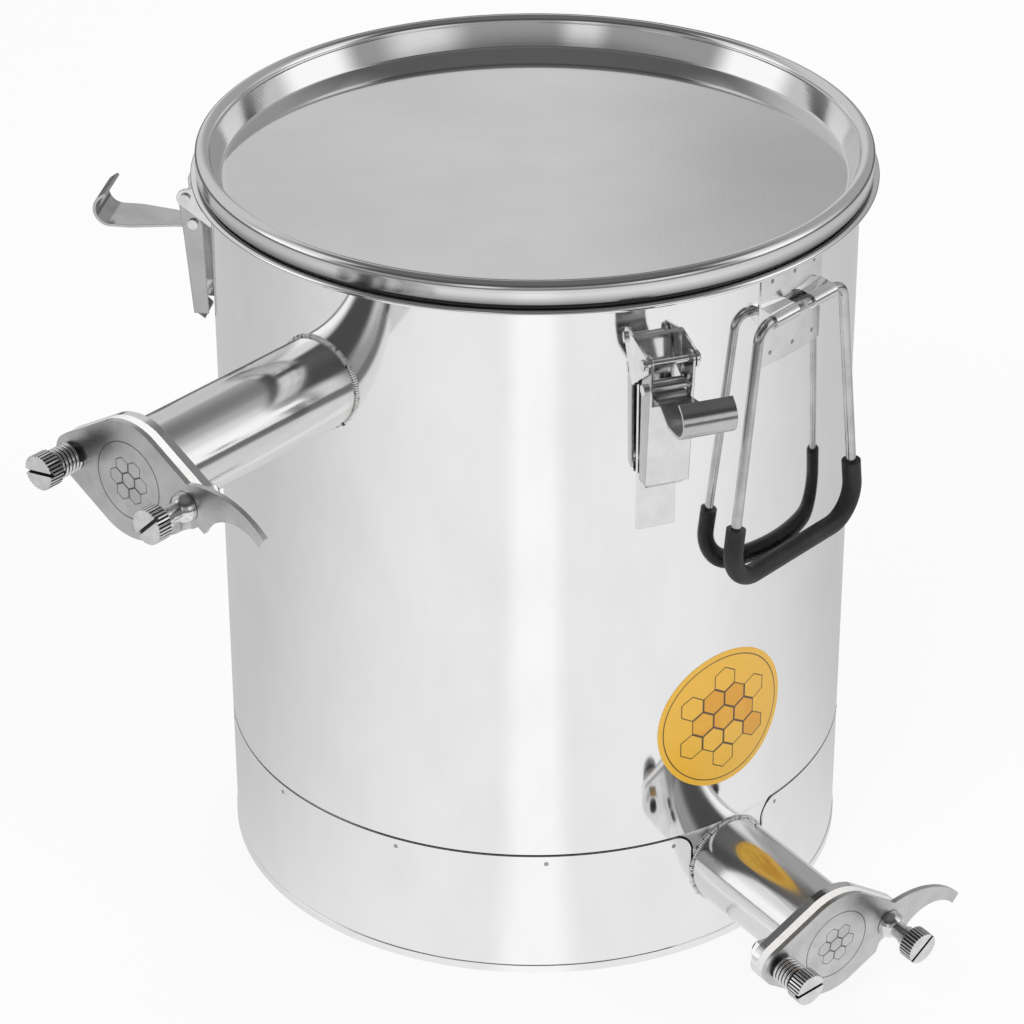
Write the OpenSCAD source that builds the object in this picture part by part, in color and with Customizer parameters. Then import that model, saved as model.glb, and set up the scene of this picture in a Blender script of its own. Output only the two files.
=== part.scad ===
// Honey settling tank of polished stainless sheet: a barrel on a skirt, a clamped lid, two drain gates,
// three lid latches and two carrying handles.
// The origin is on the tank's axis at its foot, and the front is -Y.
// Angles round the tank are measured from the front towards the viewer's right.

/* [Tank] */
// Outside radius of the barrel
barrel_r = 190; // [180:1:200]
// Height of the top of the rolled rim
rim_h = 443.6; // [430:0.2:460]
// Height of the seam between the skirt and the barrel
seam_h = 84.8; // [82:0.2:95]
// Width of the open seam
seam_gap = 1.6; // [1:0.2:2.4]
// Thickness of the tank's sheet
sheet_t = 1; // [0.8:0.1:1.2]
// How far the rolled rim stands out from the barrel
rim_out = 10.6; // [10:0.2:12]
// Radius of the roll at the edge of the rim
rim_roll_r = 1.8; // [1.5:0.1:2]
// Slope of the floor towards the lower spout, in degrees
floor_slope = 6; // [4:0.5:7]
// Height of the folded hem at the foot of the skirt
hem_h = 5.6; // [4:0.2:8]
// How far the hem stands out from the skirt
hem_out = 0.6; // [0.4:0.1:1]
// Spot welds round the skirt
spot_count = 13; // [10:1:13]
// Radius of a spot weld
spot_r = 1.8; // [1.2:0.1:2.4]
// Diameter of the round label
label_d = 90; // [70:1:94]
// Where the label sits round the tank, in degrees
label_az = 35.5; // [30:0.5:40]
// Height of the middle of the label
label_z = 158; // [150:1:200]

/* [Lid] */
// How far the flat panel stays inside the barrel's radius
panel_in = 6.8; // [6:0.2:10]
// How far the panel lies below the top of the bead
panel_drop = 18.7; // [17:0.1:21]
// How far the lid's bead stands out from the barrel
bead_out = 7.6; // [7:0.2:9]
// Width of the bead
bead_w = 8.8; // [8.4:0.1:9.2]
// Height of the bead's crown above the rim
bead_rise = 15.4; // [14.6:0.2:17]
// Radius of the curl under the bead's outer edge
bead_curl_r = 2.4; // [2.2:0.1:2.6]

/* [Gates] */
// Outside diameter of a spout tube
spout_d = 54; // [52:0.5:56]
// Thickness of a spout tube's wall
spout_wall = 2; // [1.5:0.1:4]
// Where the upper spout sits round the tank, in degrees
upper_az = -39.5; // [-45:0.5:-35]
// How far the upper spout's axis lies below the rim
upper_below_rim = 69.6; // [64:0.2:93]
// Distance from the barrel to the front of the upper gate's plate
upper_reach = 149; // [130:1:170]
// Downward slope of the upper spout, in degrees
upper_tilt = 0; // [0:0.5:2]
// Turn of the upper gate on its spout, in degrees
upper_roll = -1; // [-4:0.5:4]
// Where the lower spout sits round the tank, in degrees
lower_az = 37.5; // [34:0.5:42]
// Height of the lower spout's axis at the skirt
lower_z = 56; // [54:0.5:60]
// Distance from the skirt to the front of the lower gate's plate
lower_reach = 98; // [90:1:120]
// Downward slope of the lower spout, in degrees
lower_tilt = 4.5; // [3:0.5:5]
// Turn of the lower gate on its spout, in degrees
lower_roll = -4; // [-6:0.5:0]
// How far the round middle of a gate plate reaches beyond the spout tube
gate_margin = 7.5; // [7:0.5:9]
// Distance from the outside of the spout tube to the middle of each stud
stud_gap = 15; // [14:0.5:17]
// Radius of the lobes round the studs
lobe_r = 12.6; // [12:0.2:14]
// Thickness of the swinging gate plate
plate_t = 3; // [2.5:0.1:4]
// Thickness of the white seal
seal_t = 5; // [4:0.5:6]
// Thickness of the fixed flange
flange_t = 5; // [4:0.5:6]
// Radius of the studs
stud_r = 4; // [3.5:0.1:4.2]
// Radius of the knurled nuts
knob_r = 10; // [9:0.5:10.5]
// Ridges round a knurled nut
knurl_count = 30; // [24:1:36]
// Distance from the gate plate to the face of the spring's nut
spring_nut_out = 25.4; // [24:0.2:27]
// Distance from the gate plate to the face of the clamp nut
clamp_nut_out = 29; // [28:0.2:31]
// Length of the clamp's domed bush
bush_len = 17; // [16:0.2:18]
// Curls of the pivot spring
spring_curls = 5; // [4:1:5]
// Radius of the spring's wire
spring_wire_r = 0.95; // [0.8:0.05:1]
// Radius of the spring to the middle of its wire
spring_r = 7.6; // [7:0.1:8.4]
// Height of the spring between the plate and its nut
spring_h = 15; // [14.5:0.1:16]

/* [Latches] */
// Where the front latch sits round the tank, in degrees
latch_az = 20.7; // [16:0.1:22]
// How far the pin on which a latch handle turns lies below the rim
latch_below_rim = 32.6; // [31:0.2:38]
// Distance of that pin from the barrel
latch_pivot_out = 17.5; // [17:0.5:19]
// How far the hook's pin lies below the handle's pin
hook_pin_drop = 17; // [16:0.5:18]
// How far the hook's pin lies behind the handle's pin
hook_pin_back = 3.5; // [3:0.5:4]
// Width of a latch handle
latch_w = 26; // [25:0.5:28]
// Length of a latch handle below its pin
latch_len = 76; // [70:1:80]
// Thickness of the latch sheet
latch_t = 1.5; // [1.3:0.1:1.6]
// Width of the hook at its curl
hook_w = 31; // [29:0.5:33]
// Distance from the barrel to the outside of the hook's curl
hook_out = 74.5; // [70:0.5:78]
// Outer radius of the hook's curl
curl_r = 10.5; // [9.5:0.5:12]
// How far the curl turns, in degrees
curl_turn = 145; // [120:5:160]

/* [Handles] */
// Where the right handle sits round the tank, in degrees
handle_az = 49; // [47:0.5:56]
// How far the bail's top bar lies below the rim
bail_below_rim = 30.6; // [28:0.2:38]
// Distance of the top bar from the barrel
bail_out = 7; // [6.5:0.1:8]
// Half the straight length of the bail's top bar
bail_bar = 29.2; // [28.5:0.1:31]
// Straight length of a bail leg
leg_len = 125.8; // [110:0.2:130]
// Lean of a bail leg, in degrees
leg_lean = 7.6; // [6:0.2:8.4]
// Radius of the bail's rod
rod_r = 3; // [2.5:0.1:3.2]
// Radius of the rubber grip
grip_r = 5.7; // [5:0.1:6]
// How far the grip reaches up the straight legs
grip_leg = 13.5; // [8:0.5:24]
// Width of a handle bracket
bracket_w = 55; // [50:0.5:55.5]
// Height of a handle bracket
bracket_h = 55; // [50:0.5:56]

/* [Hidden] */
$fn = 96;

// Colours
steel = [0.78, 0.79, 0.8];
bright_steel = [0.86, 0.87, 0.88];
seal_white = [0.94, 0.94, 0.93];
rubber_black = [0.06, 0.06, 0.06];
label_yellow = [0.93, 0.72, 0.28];

// Clearances and margins
run_gap = 0.06;
face_gap = 0.3;
cut = 1;
tuck = 0.04;
reach_all = 3 * barrel_r;

// Tank, worked out
barrel_in_r = barrel_r - sheet_t;
tail_in_r = barrel_in_r - sheet_t;
skirt_top = seam_h - seam_gap;
rim_r = barrel_r + rim_out;
rim_plate_z = rim_h - sheet_t;
rim_roll_x = rim_r - rim_roll_r;
rim_roll_z = rim_h - rim_roll_r;
spout_r = spout_d / 2;
bore_r = spout_r - spout_wall;
floor_below_bore = 0.6;
floor_low = lower_z - bore_r - floor_below_bore;
floor_t = 1.2;
tail_below_floor = 14;
spot_drop = 5;
spot_beside_spout = 1.2;
spot_start_az = lower_az - asin((spout_r - spot_beside_spout) / barrel_r);
spot_proud = 0.3;
label_t = 0.25;

// Lid, worked out
panel_r = barrel_r - panel_in;
bead_r = barrel_r + bead_out;
bead_crown_r = bead_w / 2;
bead_mid_r = bead_r - bead_crown_r;
bead_top = rim_h + bead_rise;
bead_mid_z = bead_top - bead_crown_r;
panel_z = bead_top - panel_drop;
bead_over_rim = 0.8;
lid_slim = 0.02;
lid_lap = 0.1;
bead_low = rim_h + bead_over_rim;
gasket_gap = 0.2;
gasket_in_r = bead_mid_r - bead_crown_r + sheet_t + 2 * gasket_gap;
gasket_out_r = bead_r - bead_curl_r - gasket_gap;

// Gates, worked out: distances along a spout, back from the front of its plate
upper_z = rim_h - upper_below_rim;
gate_r = spout_r + gate_margin;
stud_x = spout_r + stud_gap;
plate_back = plate_t;
seal_front = plate_back + run_gap;
seal_back = seal_front + seal_t;
flange_back = seal_back + flange_t;
weld_w = 3;
weld_h = 2.2;
spout_fit = 0.2;
nut_h = 6.5;
nut_r = 7.4;
stud_tail = 2.5;
nut_blind = 3;
knob_head = 9;
knob_neck_r = 6.4;
knurl_r = 0.55;
slot_w = 2;
slot_d = 2.2;
pivot_slot_turn = 10;
clamp_slot_turn = 45;
bush_base_r = 8.6;
bush_neck_r = 5.2;
bush_collar_r = 6.2;
bush_collar_h = 3;
stud_hole_gap = 0.5;

// The horn: an upper and a lower arc, given from the spout's axis
horn_top = [stud_x + 17.4, -41.9];
horn_top_r = 57.9;
horn_under = [stud_x + 35.2, -22.8];
horn_under_r = 24.8;
horn_root = [stud_x, -4];
horn_foot = [stud_x + 15, -13];
horn_tip = [stud_x + 56.6, 1.2];
horn_tip_under = [stud_x + 52, -6];

// Latches, worked out in the plane through the tank's axis: distance out from the barrel, then height
latch_pivot_z = rim_h - latch_below_rim;
latch_pivot = [latch_pivot_out, latch_pivot_z];
hook_pin = latch_pivot - [hook_pin_back, hook_pin_drop];
pin_r = 2;
pin_head_r = 3.2;
pin_head_h = 1.8;
ear_r = 5.5;
ear_top = 9;
ear_low = 20;
ear_gap = 0.5;
ear_front_up = 80;
ear_front_down = -50;
ear_x = latch_w / 2 + ear_gap;
tongue_w = 23;
tongue_low = 111;
handle_eye_r = 5;
web_top = 25;
web_lean = 4;
web_front = latch_pivot_out + 2.5;
cheek_back = 8.5;
cheek_foot = 7;
lip_back = 6;
lip_drop = 4.5;
lip_w = latch_w - 5;
hook_t = 1.8;
hook_eye_r = 4.6;
hook_root_w = 19;
hook_root_end = 25;
hook_full_at = 52;
hook_lip = 4;
hook_lap = 0.5;
hook_slim = 0.03;
hook_eye_lap = 0.3;
curl_end = curl_turn - 90;
hook_low = hook_pin[1] - hook_eye_r + hook_eye_lap;
hook_mid = [hook_out - curl_r, hook_low + curl_r];

// Handles, worked out in the bail's own plane: across, then up from the top bar
bend_top_r = 10;
bend_low_r = 20;
foot_x = bail_bar + (bend_top_r - bend_low_r) * cos(leg_lean) + leg_len * sin(leg_lean);
foot_z = (bend_top_r - bend_low_r) * sin(leg_lean) - leg_len * cos(leg_lean) - bend_top_r - bend_low_r;
rod_slim = 0.02;
rod_lap = 0.4;
$slim = 0;
bail_butt = 0.6;
bracket_t = 1.2;
barrel_wall = 1.4;
bracket_drop = 31.5;
bail_z = rim_h - bail_below_rim;
bracket_low = bail_z - bracket_drop;
knuckle_rise = 5.5;
notch_w = 14;
peg_r = 1.8;
peg_len = 6.5;
peg_turn = -40;
peg_x = 3;
knuckle_side = 50;

// Frame on the barrel at an angle round the tank: x to the left as seen from outside, y outwards, z up
module on_wall(az) {
    rotate([0, 0, az + 180]) translate([0, barrel_r, 0]) children();
}

// Frame on a spout: x to the right as seen from outside, y up, z outwards along the spout from the barrel
module on_spout(az, z, tilt, roll = 0) {
    on_wall(az) translate([0, 0, z]) rotate([-tilt, 0, 0]) rotate([90, 0, 180]) rotate([0, 0, roll])
        children();
}

// Ring between two radii
module ring(outer, inner, low, high) {
    translate([0, 0, low]) difference() {
        cylinder(r = outer, h = high - low);
        translate([0, 0, -cut]) cylinder(r = inner, h = high - low + 2 * cut);
    }
}

// Everything inside a radius
module core(r, low = -reach_all, high = reach_all) {
    translate([0, 0, low]) cylinder(r = r, h = high - low);
}

// Sheet lying on the barrel, cut to a flat outline of across by up
module wall_sheet(az, thick) {
    intersection() {
        ring(barrel_r + thick, barrel_r, 0, rim_h);
        on_wall(az) rotate([90, 0, 0]) translate([0, 0, -barrel_r / 2])
            linear_extrude(barrel_r) children();
    }
}

// Shape drawn as out by up, given a width across
module across(w) {
    rotate([90, 0, 90]) translate([0, 0, -w / 2]) linear_extrude(w) children();
}

// Space below the floor, lowered by a drop
module below_floor(drop) {
    rotate([0, 0, lower_az + 180]) translate([0, tail_in_r, floor_low - drop]) rotate([-floor_slope, 0, 0])
        translate([-reach_all, -reach_all, -reach_all]) cube([2 * reach_all, 2 * reach_all, reach_all]);
}

// Holes for the spouts in a sheet of the tank
module upper_hole() {
    on_spout(upper_az, upper_z, upper_tilt)
        translate([0, 0, -spout_d]) cylinder(r = spout_r + spout_fit, h = 2 * spout_d);
}

module lower_hole() {
    on_spout(lower_az, lower_z, lower_tilt)
        translate([0, 0, -spout_d]) cylinder(r = spout_r + spout_fit, h = 2 * spout_d);
}

module tank_barrel() {
    color(steel) difference() {
        rotate_extrude() union() {
            polygon([[tail_in_r, 0], [barrel_in_r, 0], [barrel_in_r, seam_h], [barrel_r, seam_h],
                [barrel_r, rim_plate_z], [rim_roll_x, rim_plate_z], [rim_roll_x, rim_h], [barrel_in_r, rim_h],
                [barrel_in_r, seam_h + sheet_t], [tail_in_r, seam_h + sheet_t]]);
            translate([rim_roll_x, rim_roll_z]) circle(r = rim_roll_r);
        }
        below_floor(floor_t + tail_below_floor);
        upper_hole();
        lower_hole();
    }
}

module tank_floor() {
    color(steel) difference() {
        core(tail_in_r, 0, seam_h + sheet_t);
        below_floor(floor_t);
        difference() {
            core(barrel_r);
            below_floor(0);
        }
    }
}

module base_skirt() {
    color(steel) difference() {
        union() {
            ring(barrel_r, barrel_in_r, 0, skirt_top);
            ring(barrel_r + hem_out, barrel_in_r, 0, hem_h);
        }
        lower_hole();
    }
}

module skirt_spot_welds() {
    spot_step = 360 / spot_count;
    color(bright_steel) for (i = [0 : spot_count - 1])
        wall_sheet(spot_start_az + i * spot_step, spot_proud)
            translate([0, skirt_top - spot_drop]) circle(r = spot_r, $fn = 24);
}

module label() {
    color(label_yellow) wall_sheet(label_az, label_t) translate([0, label_z]) circle(d = label_d);
}

// Quarter or half of a sheet curl, as radius by height, kept where it lies inside a square
module curl_outline(outer, corner) {
    intersection() {
        difference() {
            circle(r = outer);
            circle(r = outer - sheet_t);
        }
        translate(corner) square(2 * bead_w);
    }
}

module lid_pan() {
    wall_top_r = bead_mid_r - bead_crown_r;
    leg_low = bead_low + bead_curl_r;
    lap_top = bead_mid_z + lid_lap;
    color(steel) union() {
        rotate_extrude() polygon([[0, panel_z], [panel_r, panel_z], [wall_top_r + lid_slim, lap_top],
            [wall_top_r + sheet_t - lid_slim, lap_top], [panel_r + sheet_t, panel_z - sheet_t],
            [0, panel_z - sheet_t]]);
        rotate_extrude() translate([bead_mid_r, bead_mid_z]) curl_outline(bead_crown_r, [-bead_w, 0]);
        rotate_extrude() translate([bead_r - sheet_t + lid_slim, leg_low - lid_lap])
            square([sheet_t - 2 * lid_slim, lap_top - leg_low + lid_lap]);
        rotate_extrude() translate([bead_r - bead_curl_r, leg_low])
            curl_outline(bead_curl_r, [0, -2 * bead_w]);
    }
}

module lid_gasket() {
    color(rubber_black) rotate_extrude() union() {
        translate([gasket_in_r, rim_h]) square([gasket_out_r - gasket_in_r, bead_mid_z - rim_h]);
        translate([bead_mid_r, bead_mid_z]) circle(r = bead_crown_r - sheet_t);
    }
}

// Outline shared by the flange, the seal and the gate plate: a round middle running into two lobes
module lozenge(thick) {
    lean = acos((gate_r - lobe_r) / stud_x);
    near = (gate_r - tuck) * [cos(lean), sin(lean)];
    far = [stud_x, 0] + (lobe_r - tuck) * [cos(lean), sin(lean)];
    cylinder(r = gate_r, h = thick);
    stud_places() cylinder(r = lobe_r, h = thick);
    linear_extrude(thick) polygon([near, far, [far[0], -far[1]], [near[0], -near[1]],
        [-near[0], -near[1]], [-far[0], -far[1]], [-far[0], far[1]], [-near[0], near[1]]]);
}

module stud_places() {
    for (side = [-1, 1]) translate([side * stud_x, 0, 0]) children();
}

// Drill for a plate that lies on the origin
module drill(thick, r) {
    translate([0, 0, -cut]) cylinder(r = r, h = thick + 2 * cut);
}

module spout_tube(az, z, tilt, reach, wall_r) {
    color(steel) difference() {
        on_spout(az, z, tilt) difference() {
            translate([0, 0, -spout_d]) cylinder(r = spout_r, h = spout_d + reach - seal_back);
            translate([0, 0, -spout_d - cut]) cylinder(r = bore_r, h = spout_d + reach + 2 * cut);
        }
        core(wall_r);
    }
}

module spout_weld(az, z, tilt) {
    color(bright_steel) intersection() {
        ring(barrel_r + weld_h, barrel_r, 0, rim_h);
        on_spout(az, z, tilt) ring(spout_r + weld_w, spout_r, -spout_r, spout_r);
    }
}

module gate_flange(az, z, tilt, reach, roll) {
    color(steel) on_spout(az, z, tilt, roll) translate([0, 0, reach - flange_back]) difference() {
        lozenge(flange_t);
        drill(flange_t, spout_r);
        stud_places() drill(flange_t, stud_r);
    }
}

module gate_seal(az, z, tilt, reach, roll) {
    color(seal_white) on_spout(az, z, tilt, roll) translate([0, 0, reach - seal_back]) difference() {
        lozenge(seal_t);
        drill(seal_t, bore_r);
        stud_places() drill(seal_t, stud_r + stud_hole_gap);
    }
}

// Crescent lever at the clamp side of a gate plate
module horn() {
    difference() {
        intersection() {
            translate(horn_top) circle(r = horn_top_r);
            polygon([[stud_x, gate_r], horn_root, horn_foot, horn_tip_under, horn_tip,
                [horn_tip[0], gate_r]]);
        }
        translate(horn_under) circle(r = horn_under_r);
    }
}

// Slot through which the clamp stud leaves when the plate swings up round the pivot
module clamp_slot() {
    swing_r = 2 * stud_x;
    slot_r = stud_r + stud_hole_gap;
    translate([stud_x, 0]) circle(r = slot_r);
    intersection() {
        translate([-stud_x, 0]) difference() {
            circle(r = swing_r + slot_r);
            circle(r = swing_r - slot_r);
        }
        translate([0, -2 * stud_x]) square(2 * stud_x);
    }
}

module gate_plate(az, z, tilt, reach, roll) {
    color(bright_steel) on_spout(az, z, tilt, roll) translate([0, 0, reach - plate_t]) difference() {
        union() {
            lozenge(plate_t);
            linear_extrude(plate_t) horn();
        }
        translate([-stud_x, 0, 0]) drill(plate_t, stud_r + run_gap);
        translate([0, 0, -cut]) linear_extrude(plate_t + 2 * cut) clamp_slot();
    }
}

module stud_nuts(az, z, tilt, reach, roll) {
    color(steel) on_spout(az, z, tilt, roll) translate([0, 0, reach - flange_back - nut_h])
        stud_places() difference() {
            cylinder(r = nut_r, h = nut_h, $fn = 6);
            drill(nut_h, stud_r);
        }
}

// Stud on one side of a gate, ending inside its nut
module stud(side, az, z, tilt, reach, roll, nut_out) {
    stud_low = reach - flange_back - nut_h - stud_tail;
    color(steel) on_spout(az, z, tilt, roll) translate([side * stud_x, 0, stud_low])
        cylinder(r = stud_r, h = reach + nut_out - nut_blind - stud_low);
}

// Knurled nut whose slotted face lies at the origin
module knurled_nut(body_len, bore_gap) {
    color(bright_steel) difference() {
        union() {
            translate([0, 0, -knob_head]) cylinder(r = knob_r, h = knob_head);
            translate([0, 0, -body_len]) cylinder(r = knob_neck_r, h = body_len - cut);
        }
        translate([0, 0, -body_len - cut])
            cylinder(r = stud_r + bore_gap, h = body_len + cut - nut_blind + bore_gap);
        translate([-knob_r - cut, -slot_w / 2, -slot_d]) cube([2 * (knob_r + cut), slot_w, slot_d + cut]);
        for (i = [0 : knurl_count - 1]) rotate([0, 0, 360 * (i + 0.5) / knurl_count])
            translate([knob_r, 0, -knob_head - cut]) cylinder(r = knurl_r, h = knob_head + 2 * cut, $fn = 16);
    }
}

module pivot_nut(az, z, tilt, reach, roll) {
    on_spout(az, z, tilt, roll) translate([-stud_x, 0, reach + spring_nut_out])
        rotate([0, 0, pivot_slot_turn]) knurled_nut(spring_nut_out - spring_h, 0);
}

module clamp_nut(az, z, tilt, reach, roll) {
    on_spout(az, z, tilt, roll) translate([stud_x, 0, reach + clamp_nut_out]) rotate([0, 0, clamp_slot_turn])
        knurled_nut(clamp_nut_out - bush_len - 2 * face_gap, run_gap);
}

module clamp_bush(az, z, tilt, reach, roll) {
    color(bright_steel) on_spout(az, z, tilt, roll) translate([stud_x, 0, reach + face_gap])
        rotate_extrude() difference() {
            union() {
                intersection() {
                    circle(r = bush_base_r);
                    square(bush_base_r);
                }
                square([bush_neck_r, bush_len]);
                translate([0, bush_len - bush_collar_h]) square([bush_collar_r, bush_collar_h]);
            }
            translate([0, -cut]) square([stud_r + run_gap, bush_len + 2 * cut]);
        }
}

// Pivot spring: a round wire on a helix, with flat end caps
spring_rings = 8;
spring_sides = 6;
spring_low = face_gap + spring_wire_r;
spring_pitch = (spring_h - spring_low - spring_wire_r - run_gap) / spring_curls;
spring_steps = spring_curls * spring_rings;
spring_line = [for (i = [0 : spring_steps])
    let (a = 360 * i / spring_rings)
    [spring_r * cos(a), spring_r * sin(a), spring_low + spring_pitch * i / spring_rings]];

// Corner of the wire's outline at a step along the helix
function spring_corner(i, k) =
    let (a = 360 * i / spring_rings, b = 360 * k / spring_sides)
    spring_line[i] + spring_wire_r * [cos(b) * cos(a), cos(b) * sin(a), sin(b)];

spring_points = [for (i = [0 : spring_steps], k = [0 : spring_sides - 1]) spring_corner(i, k)];
spring_skin = [for (i = [0 : spring_steps - 1], k = [0 : spring_sides - 1])
    let (a = i * spring_sides, b = a + spring_sides, n = (k + 1) % spring_sides)
    each [[a + k, b + k, b + n], [a + k, b + n, a + n]]];
spring_start = [for (k = [1 : spring_sides - 2]) [0, k, k + 1]];
spring_end = [for (k = [1 : spring_sides - 2]) spring_steps * spring_sides * [1, 1, 1] + [0, k + 1, k]];
spring_self_gap = min([for (i = [0 : spring_steps - spring_rings])
    norm(spring_line[i + spring_rings] - spring_line[i])]) - 2 * spring_wire_r;
echo(spring_self_gap = spring_self_gap);

module pivot_spring(az, z, tilt, reach, roll) {
    color(bright_steel) on_spout(az, z, tilt, roll) translate([-stud_x, 0, reach])
        polyhedron(spring_points, concat(spring_skin, spring_start, spring_end));
}

// Ear of a latch base, as out by up
module ear_outline() {
    translate(latch_pivot) circle(r = ear_r);
    polygon([[0, latch_pivot_z - ear_low], [0, latch_pivot_z + ear_top],
        latch_pivot + ear_r * [cos(ear_front_up), sin(ear_front_up)],
        latch_pivot + ear_r * [cos(ear_front_down), sin(ear_front_down)]]);
}

module latch_base(az) {
    foot_w = 2 * (ear_x + latch_t);
    color(steel) union() {
        wall_sheet(az, latch_t) translate([-foot_w / 2, latch_pivot_z - ear_low])
            square([foot_w, ear_low + ear_top]);
        wall_sheet(az, latch_t) translate([-tongue_w / 2, latch_pivot_z - tongue_low])
            square([tongue_w, tongue_low]);
        difference() {
            on_wall(az) for (side = [-1, 1]) translate([side * (ear_x + latch_t / 2), 0, 0])
                across(latch_t) difference() {
                    ear_outline();
                    translate(latch_pivot) circle(r = pin_r);
                }
            core(barrel_r);
        }
    }
}

// Pin across a latch with a head at each end
module latch_pin(az, place, grip_w) {
    color(bright_steel) on_wall(az) union() {
        across(grip_w + 2 * pin_head_h) translate(place) circle(r = pin_r);
        for (side = [-1, 1]) translate([side * (grip_w + pin_head_h) / 2, 0, 0])
            across(pin_head_h) translate(place) circle(r = pin_head_r);
    }
}

// Handle's cheek, as out by up
module cheek_outline() {
    foot_z = latch_pivot_z - latch_len;
    translate(latch_pivot) circle(r = handle_eye_r);
    polygon([[cheek_back, hook_pin[1]], latch_pivot - [handle_eye_r, 0], latch_pivot + [handle_eye_r, 0],
        [web_front, latch_pivot_z - web_top], [web_front - web_lean, foot_z], [cheek_foot, foot_z]]);
}

module web_outline() {
    foot_z = latch_pivot_z - latch_len;
    polygon([[web_front, latch_pivot_z - web_top], [web_front - web_lean, foot_z],
        [web_front - web_lean - latch_t, foot_z], [web_front - latch_t, latch_pivot_z - web_top]]);
}

module lip_outline() {
    foot_z = latch_pivot_z - latch_len;
    foot_y = web_front - web_lean;
    polygon([[foot_y, foot_z], [foot_y - lip_back, foot_z - lip_drop],
        [foot_y - lip_back, foot_z - lip_drop + latch_t], [foot_y - latch_t, foot_z + latch_t]]);
}

module latch_handle(az) {
    color(bright_steel) on_wall(az) union() {
        for (side = [-1, 1]) translate([side * (latch_w - latch_t) / 2, 0, 0])
            across(latch_t) difference() {
                cheek_outline();
                translate(latch_pivot) circle(r = pin_r + run_gap);
                translate(hook_pin) circle(r = pin_r);
            }
        across(latch_w) web_outline();
        across(lip_w) lip_outline();
    }
}

// Hook's curl, as out by up from its middle, starting straight down
module hook_curl_outline() {
    wide = 2 * curl_r;
    intersection() {
        difference() {
            circle(r = curl_r);
            circle(r = curl_r - hook_t);
        }
        polygon([[0, 0], [0, -wide], [wide, -wide], [wide, wide * sin(curl_end)],
            wide * [cos(curl_end), sin(curl_end)]]);
    }
}

// Hook's outline from above, as across by out
module hook_plan() {
    half_root = hook_root_w / 2;
    half_full = hook_w / 2;
    polygon([[-half_root, 0], [half_root, 0], [half_root, hook_root_end], [half_full, hook_full_at],
        [half_full, 2 * hook_out], [-half_full, 2 * hook_out], [-half_full, hook_full_at],
        [-half_root, hook_root_end]]);
}

module latch_hook(az) {
    color(bright_steel) on_wall(az) intersection() {
        union() {
            difference() {
                union() {
                    across(hook_w) translate(hook_pin) circle(r = hook_eye_r);
                    across(hook_w) translate([hook_pin[0], hook_low + hook_slim])
                        square([hook_mid[0] - hook_pin[0] + hook_lap, hook_t - 2 * hook_slim]);
                }
                across(2 * hook_w) translate(hook_pin) circle(r = pin_r + run_gap);
            }
            across(hook_w) translate(hook_mid) hook_curl_outline();
            across(hook_w) translate(hook_mid) rotate(curl_end)
                translate([curl_r - hook_t + hook_slim, -hook_lap])
                square([hook_t - 2 * hook_slim, hook_lip + hook_lap]);
        }
        linear_extrude(rim_h) hook_plan();
    }
}

module handle_bracket(az) {
    knuckle_r = rod_r + run_gap + barrel_wall;
    seat = [bail_out, bail_z];
    color(steel) union() {
        wall_sheet(az, bracket_t) translate([-bracket_w / 2, bracket_low]) square([bracket_w, bracket_h]);
        difference() {
            on_wall(az) across(bracket_w) difference() {
                union() {
                    translate(seat) circle(r = knuckle_r);
                    polygon([[-bail_out, bail_z - knuckle_rise], [-bail_out, bail_z + knuckle_rise],
                        [0, bail_z + knuckle_rise], seat + knuckle_r * [cos(knuckle_side), sin(knuckle_side)],
                        seat + knuckle_r * [cos(knuckle_side), -sin(knuckle_side)],
                        [0, bail_z - knuckle_rise]]);
                }
                translate(seat) circle(r = rod_r + run_gap);
            }
            on_wall(az) across(notch_w) translate(seat - [rod_r + run_gap, peg_len + peg_r])
                square(2 * (peg_len + peg_r));
            on_wall(az) across(notch_w) translate([bracket_t, bail_z]) square([bail_out, knuckle_rise]);
            core(barrel_r);
        }
    }
}

// Frame of one leg of the bail: its origin is the middle of the top bend and y runs up along the leg
module on_leg() {
    translate([bail_bar, -bend_top_r, 0]) rotate([0, 0, leg_lean]) children();
}

// Bends of one side of the bail, with any round section
module top_bend() {
    on_leg() rotate_extrude(angle = 90 - leg_lean) translate([bend_top_r, 0]) children();
}

module low_bend() {
    on_leg() translate([bend_top_r - bend_low_r, -leg_len, 0]) rotate([0, 0, -90 - leg_lean])
        rotate_extrude(angle = 90 + leg_lean) translate([bend_low_r, 0]) children();
}

// Straight lengths of the bail, a hair slimmer than the bends so that they lap into them cleanly
module leg_run(len) {
    $slim = rod_slim;
    on_leg() translate([bend_top_r, -leg_len - rod_lap, 0]) rotate([-90, 0, 0])
        linear_extrude(len + rod_lap) children();
}

module bar_run(from, to, up) {
    $slim = rod_slim;
    translate([from, up, 0]) rotate([0, 90, 0]) linear_extrude(to - from) children();
}

module rod_section() {
    circle(r = rod_r - $slim, $fn = 48);
}

module grip_section() {
    difference() {
        circle(r = grip_r - $slim, $fn = 48);
        circle(r = rod_r + $slim, $fn = 48);
    }
}

module on_bail(az) {
    on_wall(az) translate([0, bail_out, bail_z]) rotate([90, 0, 0]) children();
}

module handle_bail(az) {
    color(steel) on_bail(az) union() {
        bar_run(-bail_bar - rod_lap, bail_bar + rod_lap, 0) rod_section();
        for (side = [0, 1]) mirror([side, 0, 0]) {
            top_bend() rod_section();
            leg_run(leg_len + rod_lap) rod_section();
            low_bend() rod_section();
            bar_run(bail_butt / 2, foot_x + rod_lap, foot_z) rod_section();
        }
        translate([peg_x, 0, 0]) rotate([180 - peg_turn, 0, 0]) cylinder(r = peg_r, h = peg_len, $fn = 32);
    }
}

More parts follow.
